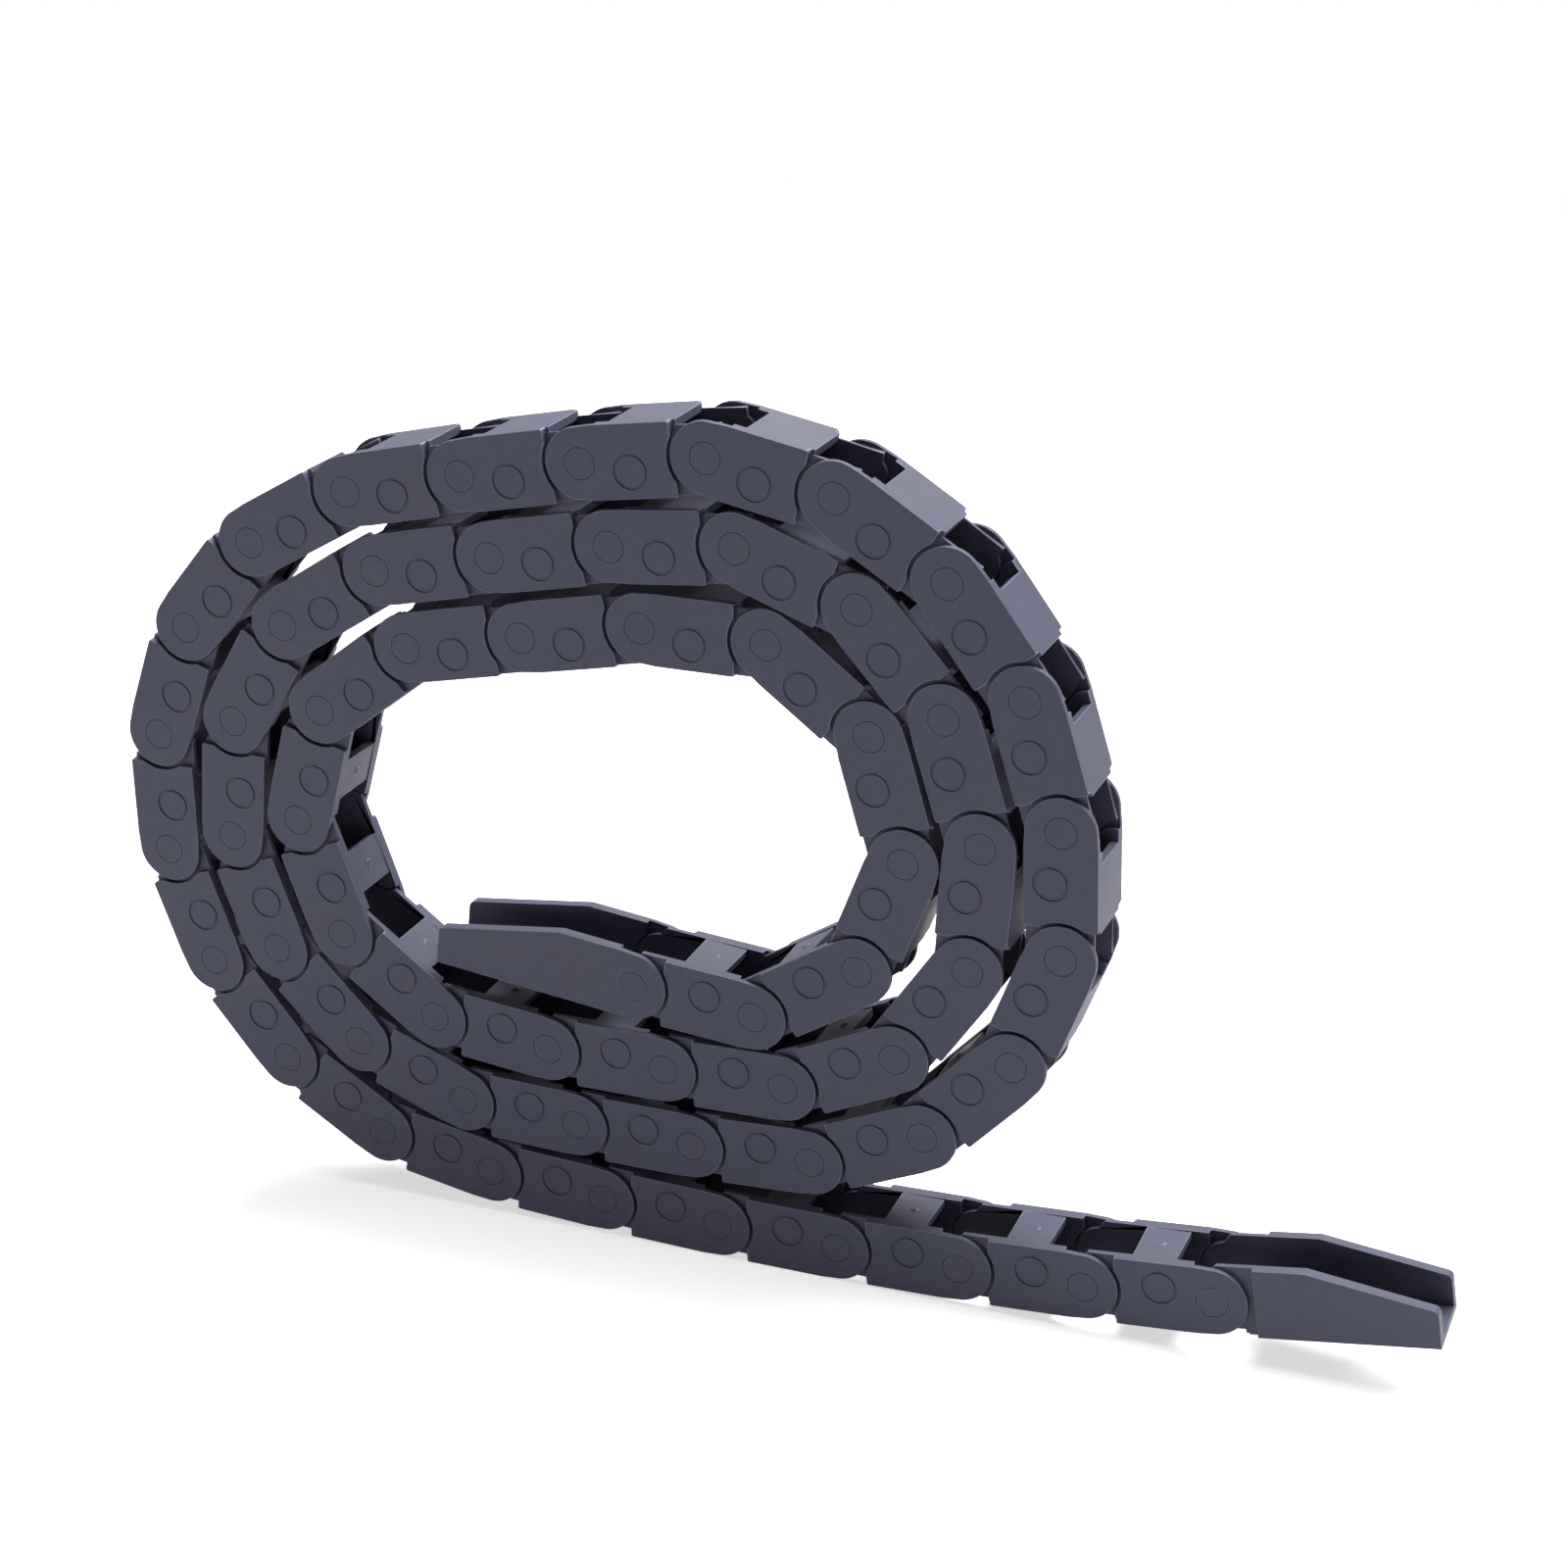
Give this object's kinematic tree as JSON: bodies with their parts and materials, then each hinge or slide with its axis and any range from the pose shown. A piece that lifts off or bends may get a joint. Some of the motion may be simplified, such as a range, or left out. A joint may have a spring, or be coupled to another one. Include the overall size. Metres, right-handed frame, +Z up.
{
  "type": "cable drag chain",
  "caption": "Coiled cable drag chain of snap-together links with an open rectangular channel and a tapered mounting bracket at each end.",
  "frame": {"origin": "middle of the bounding box in X and Y, at the lowest point of the coil", "axes": "+X along the tail towards the outer bracket, +Y across the width of the chain, away from the viewer, +Z up"},
  "size_m": [0.1726, 0.01, 0.109],
  "materials": {
    "nylon": "matt moulded polyamide"
  },
  "bodies": {
    "outer_bracket": {"outer_bracket": "nylon"},
    "link_01": {"link_01": "nylon"},
    "link_02": {"link_02": "nylon"},
    "link_03": {"link_03": "nylon"},
    "link_04": {"link_04": "nylon"},
    "link_05": {"link_05": "nylon"},
    "link_06": {"link_06": "nylon"},
    "link_07": {"link_07": "nylon"},
    "link_08": {"link_08": "nylon"},
    "link_09": {"link_09": "nylon"},
    "link_10": {"link_10": "nylon"},
    "link_11": {"link_11": "nylon"},
    "link_12": {"link_12": "nylon"},
    "link_13": {"link_13": "nylon"},
    "link_14": {"link_14": "nylon"},
    "link_15": {"link_15": "nylon"},
    "link_16": {"link_16": "nylon"},
    "link_17": {"link_17": "nylon"},
    "link_18": {"link_18": "nylon"},
    "link_19": {"link_19": "nylon"},
    "link_20": {"link_20": "nylon"},
    "link_21": {"link_21": "nylon"},
    "link_22": {"link_22": "nylon"},
    "link_23": {"link_23": "nylon"},
    "link_24": {"link_24": "nylon"},
    "link_25": {"link_25": "nylon"},
    "link_26": {"link_26": "nylon"},
    "link_27": {"link_27": "nylon"},
    "link_28": {"link_28": "nylon"},
    "link_29": {"link_29": "nylon"},
    "link_30": {"link_30": "nylon"},
    "link_31": {"link_31": "nylon"},
    "link_32": {"link_32": "nylon"},
    "link_33": {"link_33": "nylon"},
    "link_34": {"link_34": "nylon"},
    "link_35": {"link_35": "nylon"},
    "link_36": {"link_36": "nylon"},
    "link_37": {"link_37": "nylon"},
    "link_38": {"link_38": "nylon"},
    "link_39": {"link_39": "nylon"},
    "link_40": {"link_40": "nylon"},
    "link_41": {"link_41": "nylon"},
    "link_42": {"link_42": "nylon"},
    "link_43": {"link_43": "nylon"},
    "link_44": {"link_44": "nylon"},
    "link_45": {"link_45": "nylon"},
    "link_46": {"link_46": "nylon"},
    "link_47": {"link_47": "nylon"},
    "link_48": {"link_48": "nylon"},
    "link_49": {"link_49": "nylon"},
    "link_50": {"link_50": "nylon"},
    "link_51": {"link_51": "nylon"},
    "link_52": {"link_52": "nylon"},
    "link_53": {"link_53": "nylon"},
    "link_54": {"link_54": "nylon"},
    "link_55": {"link_55": "nylon"},
    "link_56": {"link_56": "nylon"},
    "link_57": {"link_57": "nylon"},
    "link_58": {"link_58": "nylon"},
    "inner_bracket": {"inner_bracket": "nylon"}
  },
  "joints": [
    {"name": "hinge_01", "type": "hinge", "parent": "link_01", "child": "outer_bracket", "pos_m": [0.0589, 0, 0.00739], "axis": [0, 1, 0], "range_deg": [-34.1, 3.9]},
    {"name": "hinge_02", "type": "hinge", "parent": "link_02", "child": "link_01", "pos_m": [0.04296, 0, 0.00599], "axis": [0, 1, 0], "range_deg": [-36.4, 1.6]},
    {"name": "hinge_03", "type": "hinge", "parent": "link_03", "child": "link_02", "pos_m": [0.02699, 0, 0.00504], "axis": [0, 1, 0], "range_deg": [-36.4, 1.6]},
    {"name": "hinge_04", "type": "hinge", "parent": "link_04", "child": "link_03", "pos_m": [0.011, 0, 0.00454], "axis": [0, 1, 0], "range_deg": [-36.4, 1.6]},
    {"name": "hinge_05", "type": "hinge", "parent": "link_05", "child": "link_04", "pos_m": [-0.005, 0, 0.00449], "axis": [0, 1, 0], "range_deg": [-36.4, 1.6]},
    {"name": "hinge_06", "type": "hinge", "parent": "link_06", "child": "link_05", "pos_m": [-0.021, 0, 0.00488], "axis": [0, 1, 0], "range_deg": [-36.4, 1.6]},
    {"name": "hinge_07", "type": "hinge", "parent": "link_07", "child": "link_06", "pos_m": [-0.03698, 0, 0.00571], "axis": [0, 1, 0], "range_deg": [0, 7]},
    {"name": "hinge_08", "type": "hinge", "parent": "link_08", "child": "link_07", "pos_m": [-0.05273, 0, 0.00849], "axis": [0, 1, 0], "range_deg": [-16.15, 21.85]},
    {"name": "hinge_09", "type": "hinge", "parent": "link_09", "child": "link_08", "pos_m": [-0.06633, 0, 0.01694], "axis": [0, 1, 0], "range_deg": [-18.84, 19.16]},
    {"name": "hinge_10", "type": "hinge", "parent": "link_10", "child": "link_09", "pos_m": [-0.07639, 0, 0.02937], "axis": [0, 1, 0], "range_deg": [-18.62, 19.38]},
    {"name": "hinge_11", "type": "hinge", "parent": "link_11", "child": "link_10", "pos_m": [-0.08177, 0, 0.04444], "axis": [0, 1, 0], "range_deg": [-18.4, 19.6]},
    {"name": "hinge_12", "type": "hinge", "parent": "link_12", "child": "link_11", "pos_m": [-0.08177, 0, 0.06044], "axis": [0, 1, 0], "range_deg": [-18.16, 19.84]},
    {"name": "hinge_13", "type": "hinge", "parent": "link_13", "child": "link_12", "pos_m": [-0.07634, 0, 0.07549], "axis": [0, 1, 0], "range_deg": [-17.91, 20.09]},
    {"name": "hinge_14", "type": "hinge", "parent": "link_14", "child": "link_13", "pos_m": [-0.06608, 0, 0.08776], "axis": [0, 1, 0], "range_deg": [-17.66, 20.34]},
    {"name": "hinge_15", "type": "hinge", "parent": "link_15", "child": "link_14", "pos_m": [-0.05219, 0, 0.0957], "axis": [0, 1, 0], "range_deg": [-21.11, 16.89]},
    {"name": "hinge_16", "type": "hinge", "parent": "link_16", "child": "link_15", "pos_m": [-0.03659, 0, 0.09926], "axis": [0, 1, 0], "range_deg": [-36.49, 1.5]},
    {"name": "hinge_17", "type": "hinge", "parent": "link_17", "child": "link_16", "pos_m": [-0.0209, 0, 0.10241], "axis": [0, 1, 0], "range_deg": [-34.71, 3.29]},
    {"name": "hinge_18", "type": "hinge", "parent": "link_18", "child": "link_17", "pos_m": [-0.00506, 0, 0.10465], "axis": [0, 1, 0], "range_deg": [-18.93, 19.07]},
    {"name": "hinge_19", "type": "hinge", "parent": "link_19", "child": "link_18", "pos_m": [0.01065, 0, 0.1016], "axis": [0, 1, 0], "range_deg": [-16.84, 21.16]},
    {"name": "hinge_20", "type": "hinge", "parent": "link_20", "child": "link_19", "pos_m": [0.02419, 0, 0.09308], "axis": [0, 1, 0], "range_deg": [-16.54, 21.46]},
    {"name": "hinge_21", "type": "hinge", "parent": "link_21", "child": "link_20", "pos_m": [0.03368, 0, 0.08019], "axis": [0, 1, 0], "range_deg": [-18.7, 19.3]},
    {"name": "hinge_22", "type": "hinge", "parent": "link_22", "child": "link_21", "pos_m": [0.03837, 0, 0.0649], "axis": [0, 1, 0], "range_deg": [-22.52, 15.48]},
    {"name": "hinge_23", "type": "hinge", "parent": "link_22", "child": "link_23", "pos_m": [0.03882, 0, 0.0489], "axis": [0, -1, 0], "range_deg": [-15.65, 22.35]},
    {"name": "hinge_24", "type": "hinge", "parent": "link_23", "child": "link_24", "pos_m": [0.03314, 0, 0.03394], "axis": [0, -1, 0], "range_deg": [-15.35, 22.65]},
    {"name": "hinge_25", "type": "hinge", "parent": "link_24", "child": "link_25", "pos_m": [0.02214, 0, 0.02232], "axis": [0, -1, 0], "range_deg": [-14.98, 23.02]},
    {"name": "hinge_26", "type": "hinge", "parent": "link_25", "child": "link_26", "pos_m": [0.00748, 0, 0.01593], "axis": [0, -1, 0], "range_deg": [-17.45, 20.55]},
    {"name": "hinge_27", "type": "hinge", "parent": "link_26", "child": "link_27", "pos_m": [-0.0085, 0, 0.01509], "axis": [0, -1, 0], "range_deg": [-35.17, 2.83]},
    {"name": "hinge_28", "type": "hinge", "parent": "link_27", "child": "link_28", "pos_m": [-0.0245, 0, 0.01504], "axis": [0, -1, 0], "range_deg": [-36.18, 1.82]},
    {"name": "hinge_29", "type": "hinge", "parent": "link_28", "child": "link_29", "pos_m": [-0.04049, 0, 0.0155], "axis": [0, -1, 0], "range_deg": [-18.29, 19.71]},
    {"name": "hinge_30", "type": "hinge", "parent": "link_29", "child": "link_30", "pos_m": [-0.05539, 0, 0.02133], "axis": [0, -1, 0], "range_deg": [-13.79, 24.21]},
    {"name": "hinge_31", "type": "hinge", "parent": "link_30", "child": "link_31", "pos_m": [-0.0666, 0, 0.03275], "axis": [0, -1, 0], "range_deg": [-13.34, 24.66]},
    {"name": "hinge_32", "type": "hinge", "parent": "link_31", "child": "link_32", "pos_m": [-0.07201, 0, 0.04781], "axis": [0, -1, 0], "range_deg": [-12.86, 25.14]},
    {"name": "hinge_33", "type": "hinge", "parent": "link_32", "child": "link_33", "pos_m": [-0.07051, 0, 0.06374], "axis": [0, -1, 0], "range_deg": [-12.36, 25.64]},
    {"name": "hinge_34", "type": "hinge", "parent": "link_33", "child": "link_34", "pos_m": [-0.06227, 0, 0.07745], "axis": [0, -1, 0], "range_deg": [-11.81, 26.18]},
    {"name": "hinge_35", "type": "hinge", "parent": "link_34", "child": "link_35", "pos_m": [-0.04882, 0, 0.08612], "axis": [0, -1, 0], "range_deg": [-17.66, 20.34]},
    {"name": "hinge_36", "type": "hinge", "parent": "link_35", "child": "link_36", "pos_m": [-0.0332, 0, 0.08958], "axis": [0, -1, 0], "range_deg": [-36.88, 1.12]},
    {"name": "hinge_37", "type": "hinge", "parent": "link_36", "child": "link_37", "pos_m": [-0.01751, 0, 0.09273], "axis": [0, -1, 0], "range_deg": [-32.23, 5.76]},
    {"name": "hinge_38", "type": "hinge", "parent": "link_37", "child": "link_38", "pos_m": [-0.00159, 0, 0.09428], "axis": [0, -1, 0], "range_deg": [-12.09, 25.91]},
    {"name": "hinge_39", "type": "hinge", "parent": "link_38", "child": "link_39", "pos_m": [0.01341, 0, 0.08872], "axis": [0, -1, 0], "range_deg": [-9.99, 28.01]},
    {"name": "hinge_40", "type": "hinge", "parent": "link_39", "child": "link_40", "pos_m": [0.02405, 0, 0.07677], "axis": [0, -1, 0], "range_deg": [-13.36, 24.64]},
    {"name": "hinge_41", "type": "hinge", "parent": "link_40", "child": "link_41", "pos_m": [0.02873, 0, 0.06147], "axis": [0, -1, 0], "range_deg": [-16.61, 21.39]},
    {"name": "hinge_42", "type": "hinge", "parent": "link_41", "child": "link_42", "pos_m": [0.02751, 0, 0.04551], "axis": [0, -1, 0], "range_deg": [-8.03, 29.97]},
    {"name": "hinge_43", "type": "hinge", "parent": "link_42", "child": "link_43", "pos_m": [0.01848, 0, 0.0323], "axis": [0, -1, 0], "range_deg": [-7.15, 30.85]},
    {"name": "hinge_44", "type": "hinge", "parent": "link_43", "child": "link_44", "pos_m": [0.00395, 0, 0.02559], "axis": [0, -1, 0], "range_deg": [-14.46, 23.54]},
    {"name": "hinge_45", "type": "hinge", "parent": "link_44", "child": "link_45", "pos_m": [-0.01204, 0, 0.02524], "axis": [0, -1, 0], "range_deg": [-36.91, 1.09]},
    {"name": "hinge_46", "type": "hinge", "parent": "link_45", "child": "link_46", "pos_m": [-0.02804, 0, 0.02519], "axis": [0, -1, 0], "range_deg": [-31.85, 6.15]},
    {"name": "hinge_47", "type": "hinge", "parent": "link_46", "child": "link_47", "pos_m": [-0.04396, 0, 0.02686], "axis": [0, -1, 0], "range_deg": [-7.38, 30.62]},
    {"name": "hinge_48", "type": "hinge", "parent": "link_47", "child": "link_48", "pos_m": [-0.0568, 0, 0.0364], "axis": [0, -1, 0], "range_deg": [-4.1, 33.9]},
    {"name": "hinge_49", "type": "hinge", "parent": "link_48", "child": "link_49", "pos_m": [-0.06214, 0, 0.05148], "axis": [0, -1, 0], "range_deg": [-2.81, 35.19]},
    {"name": "hinge_50", "type": "hinge", "parent": "link_49", "child": "link_50", "pos_m": [-0.05781, 0, 0.06688], "axis": [0, -1, 0], "range_deg": [-1.36, 36.64]},
    {"name": "hinge_51", "type": "hinge", "parent": "link_50", "child": "link_51", "pos_m": [-0.04515, 0, 0.07666], "axis": [0, -1, 0], "range_deg": [-12.22, 25.77]},
    {"name": "hinge_52", "type": "hinge", "parent": "link_51", "child": "link_52", "pos_m": [-0.02949, 0, 0.07996], "axis": [0, -1, 0], "range_deg": [-37.45, 0.55]},
    {"name": "hinge_53", "type": "hinge", "parent": "link_52", "child": "link_53", "pos_m": [-0.0138, 0, 0.08311], "axis": [0, -1, 0], "range_deg": [-26.59, 11.41]},
    {"name": "hinge_54", "type": "hinge", "parent": "link_53", "child": "link_54", "pos_m": [0.00219, 0, 0.08309], "axis": [0, -1, 0], "range_deg": [-1, 37]},
    {"name": "hinge_55", "type": "hinge", "parent": "link_54", "child": "link_55", "pos_m": [0.01496, 0, 0.07344], "axis": [0, -1, 0], "range_deg": [-1, 37]},
    {"name": "hinge_56", "type": "hinge", "parent": "link_55", "child": "link_56", "pos_m": [0.01936, 0, 0.05806], "axis": [0, -1, 0], "range_deg": [-1, 37]},
    {"name": "hinge_57", "type": "hinge", "parent": "link_56", "child": "link_57", "pos_m": [0.0136, 0, 0.04313], "axis": [0, -1, 0], "range_deg": [-1, 37]},
    {"name": "hinge_58", "type": "hinge", "parent": "link_57", "child": "link_58", "pos_m": [0.00003, 0, 0.03467], "axis": [0, -1, 0], "range_deg": [-1, 37]},
    {"name": "hinge_59", "type": "hinge", "parent": "link_58", "child": "inner_bracket", "pos_m": [-0.01591, 0, 0.03608], "axis": [0, -1, 0], "range_deg": [-36.2, 1.8]}
  ],
  "couplings": [
    {"joint": "hinge_03", "follows": "hinge_07", "ratio": 0.22857},
    {"joint": "hinge_04", "follows": "hinge_07", "ratio": 0.22857},
    {"joint": "hinge_05", "follows": "hinge_07", "ratio": 0.22857},
    {"joint": "hinge_06", "follows": "hinge_07", "ratio": 0.22857},
    {"joint": "hinge_08", "follows": "hinge_07", "ratio": 3.1213},
    {"joint": "hinge_09", "follows": "hinge_07", "ratio": 2.7364},
    {"joint": "hinge_10", "follows": "hinge_07", "ratio": 2.768},
    {"joint": "hinge_11", "follows": "hinge_07", "ratio": 2.8005},
    {"joint": "hinge_12", "follows": "hinge_07", "ratio": 2.8345},
    {"joint": "hinge_13", "follows": "hinge_07", "ratio": 2.8697},
    {"joint": "hinge_14", "follows": "hinge_07", "ratio": 2.9062},
    {"joint": "hinge_15", "follows": "hinge_07", "ratio": 2.4131},
    {"joint": "hinge_16", "follows": "hinge_07", "ratio": 0.215},
    {"joint": "hinge_17", "follows": "hinge_07", "ratio": 0.46942},
    {"joint": "hinge_18", "follows": "hinge_07", "ratio": 2.724},
    {"joint": "hinge_19", "follows": "hinge_07", "ratio": 3.0233},
    {"joint": "hinge_20", "follows": "hinge_07", "ratio": 3.066},
    {"joint": "hinge_21", "follows": "hinge_07", "ratio": 2.7574},
    {"joint": "hinge_22", "follows": "hinge_07", "ratio": 2.2114},
    {"joint": "hinge_23", "follows": "hinge_07", "ratio": 0.0005},
    {"joint": "hinge_24", "follows": "hinge_07", "ratio": 0.0005},
    {"joint": "hinge_25", "follows": "hinge_07", "ratio": 0.0005},
    {"joint": "hinge_26", "follows": "hinge_07", "ratio": 0.0005},
    {"joint": "hinge_27", "follows": "hinge_07", "ratio": 0.0005},
    {"joint": "hinge_28", "follows": "hinge_07", "ratio": 0.0005},
    {"joint": "hinge_29", "follows": "hinge_07", "ratio": 0.0005},
    {"joint": "hinge_30", "follows": "hinge_07", "ratio": 0.0005},
    {"joint": "hinge_31", "follows": "hinge_07", "ratio": 0.0005},
    {"joint": "hinge_32", "follows": "hinge_07", "ratio": 0.0005},
    {"joint": "hinge_33", "follows": "hinge_07", "ratio": 0.0005},
    {"joint": "hinge_34", "follows": "hinge_07", "ratio": 0.0005},
    {"joint": "hinge_35", "follows": "hinge_07", "ratio": 0.0005},
    {"joint": "hinge_36", "follows": "hinge_07", "ratio": 0.0005},
    {"joint": "hinge_37", "follows": "hinge_07", "ratio": 0.0005},
    {"joint": "hinge_38", "follows": "hinge_07", "ratio": 0.0005},
    {"joint": "hinge_39", "follows": "hinge_07", "ratio": 0.0005},
    {"joint": "hinge_40", "follows": "hinge_07", "ratio": 0.0005},
    {"joint": "hinge_41", "follows": "hinge_07", "ratio": 0.0005},
    {"joint": "hinge_42", "follows": "hinge_07", "ratio": 0.0005},
    {"joint": "hinge_43", "follows": "hinge_07", "ratio": 0.0005},
    {"joint": "hinge_44", "follows": "hinge_07", "ratio": 0.0005},
    {"joint": "hinge_45", "follows": "hinge_07", "ratio": 0.0005},
    {"joint": "hinge_46", "follows": "hinge_07", "ratio": 0.0005},
    {"joint": "hinge_47", "follows": "hinge_07", "ratio": 0.0005},
    {"joint": "hinge_48", "follows": "hinge_07", "ratio": 0.0005},
    {"joint": "hinge_49", "follows": "hinge_07", "ratio": 0.0005},
    {"joint": "hinge_50", "follows": "hinge_07", "ratio": 0.0005},
    {"joint": "hinge_51", "follows": "hinge_07", "ratio": 0.0005},
    {"joint": "hinge_52", "follows": "hinge_07", "ratio": 0.0005},
    {"joint": "hinge_53", "follows": "hinge_07", "ratio": 0.0005},
    {"joint": "hinge_54", "follows": "hinge_07", "ratio": 0.0005},
    {"joint": "hinge_55", "follows": "hinge_07", "ratio": 0.0005},
    {"joint": "hinge_56", "follows": "hinge_07", "ratio": 0.0005},
    {"joint": "hinge_57", "follows": "hinge_07", "ratio": 0.0005},
    {"joint": "hinge_58", "follows": "hinge_07", "ratio": 0.0005}
  ]
}
